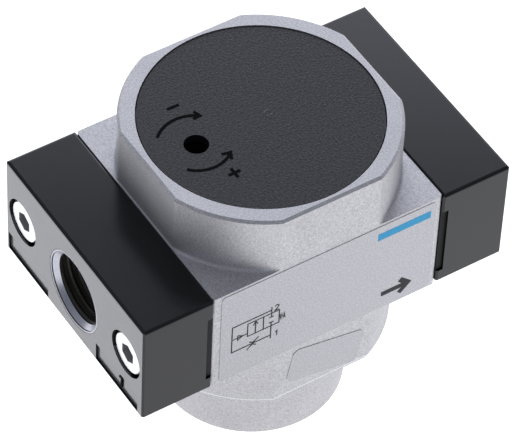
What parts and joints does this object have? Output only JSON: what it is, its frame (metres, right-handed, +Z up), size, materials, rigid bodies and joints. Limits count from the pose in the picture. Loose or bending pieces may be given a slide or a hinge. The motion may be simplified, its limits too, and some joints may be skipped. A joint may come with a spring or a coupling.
{
  "type": "pneumatic soft-start switch-on valve",
  "caption": "Compact switch-on valve block with a round cap, adjuster hole, threaded port plate at each end and round bottom cap.",
  "frame": {"origin": "centre of the flat base of the bottom cap, on the valve's upright axis", "axes": "+Z up along piston and poppet, +X from the inlet port to the outlet port, +Y to the back"},
  "size_m": [0.064, 0.0394, 0.0559],
  "materials": {
    "cast_body": "sand-blasted die-cast",
    "cast_cap": "sand-blasted die-cast",
    "plate": "black anodised",
    "zinc_screw": "bright zinc plated",
    "seal": "moulded nitrile",
    "cover": "fine moulded texture",
    "spring_steel": "drawn wire",
    "turned_aluminium": "turned",
    "stem_steel": "turned stainless",
    "brass": "turned",
    "black_steel": "blackened",
    "label_foil": "printed silver foil"
  },
  "bodies": {
    "valve_block": {"housing": "cast_body", "inlet_plate": "plate", "outlet_plate": "plate", "inlet_plate_screws": "zinc_screw", "outlet_plate_screws": "zinc_screw", "inlet_seal_ring": "seal", "outlet_seal_ring": "seal", "top_cover": "cover", "retaining_ring": "spring_steel", "chamber_lid": "turned_aluminium", "lid_seal": "seal", "lid_gasket": "seal", "stem_seal": "seal", "guide_bush": "brass", "return_spring": "spring_steel", "bottom_cap": "cast_cap", "bottom_cap_seal": "seal", "front_label": "label_foil", "number_label": "label_foil"},
    "piston_group": {"piston": "turned_aluminium", "piston_seal": "seal", "piston_nut": "zinc_screw", "valve_stem": "stem_steel", "poppet": "brass", "poppet_seal": "seal"},
    "throttle_ring": {"throttle_seal": "seal"},
    "throttle": {"throttle_screw": "black_steel"}
  },
  "joints": [
    {"name": "main_stroke", "type": "slide", "parent": "valve_block", "child": "piston_group", "axis": [0, 0, -1], "range_m": [0, 0.0025], "stiffness_N_per_m": 2500, "springref_m": -0.006, "deforming": ["return_spring"]},
    {"name": "throttle_lift", "type": "slide", "parent": "valve_block", "child": "throttle_ring", "axis": [0, 0, 1], "range_m": [0, 0.0015]},
    {"name": "throttle_turn", "type": "hinge", "parent": "throttle_ring", "child": "throttle", "pos_m": [-0.0112, 0, 0.04825], "axis": [0, 0, 1], "range_deg": [0, 1080]}
  ],
  "couplings": [
    {"joint": "throttle_turn", "follows": "throttle_lift", "rad_per_m": 12566}
  ]
}
